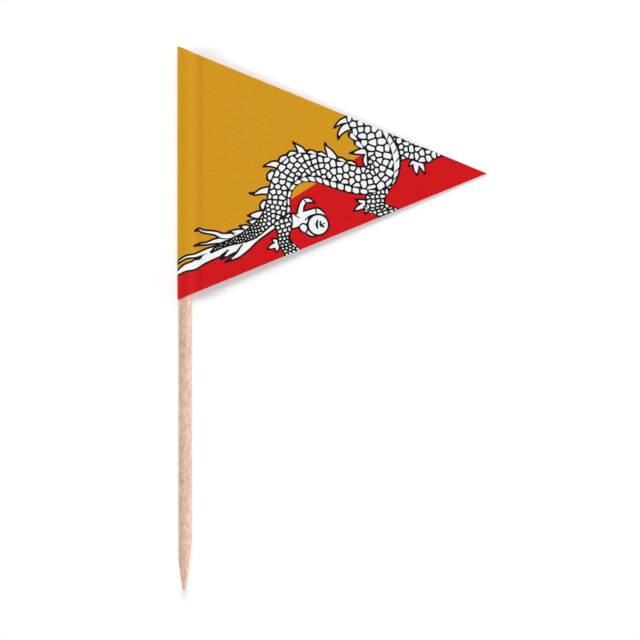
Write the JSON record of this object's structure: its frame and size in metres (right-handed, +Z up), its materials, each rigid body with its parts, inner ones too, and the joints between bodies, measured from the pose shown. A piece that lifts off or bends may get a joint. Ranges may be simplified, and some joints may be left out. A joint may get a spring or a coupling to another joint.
{
  "type": "flag toothpick",
  "caption": "Cocktail stick with one sharpened end and a folded triangular paper pennant glued round its flat end, printed with two grounds and a dragon.",
  "frame": {"origin": "middle of the footprint, on the surface that the pick lies on", "axes": "+Y along the stick towards its flat head, +X from the stick towards the pennant's tip, +Z up from the surface"},
  "size_m": [0.0376, 0.066, 0.0019],
  "materials": {
    "birch": "plain sanded birch",
    "paper": "smooth white printing paper",
    "white_glue": "dried white glue",
    "orange_ink": "matte printing ink on paper",
    "red_ink": "matte printing ink on paper",
    "black_ink": "matte printing ink on paper"
  },
  "bodies": {
    "root": {"toothpick": "birch", "pennant": "paper", "glue": "white_glue", "orange_ink": "orange_ink", "red_ink": "red_ink", "black_ink": "black_ink"}
  },
  "joints": []
}
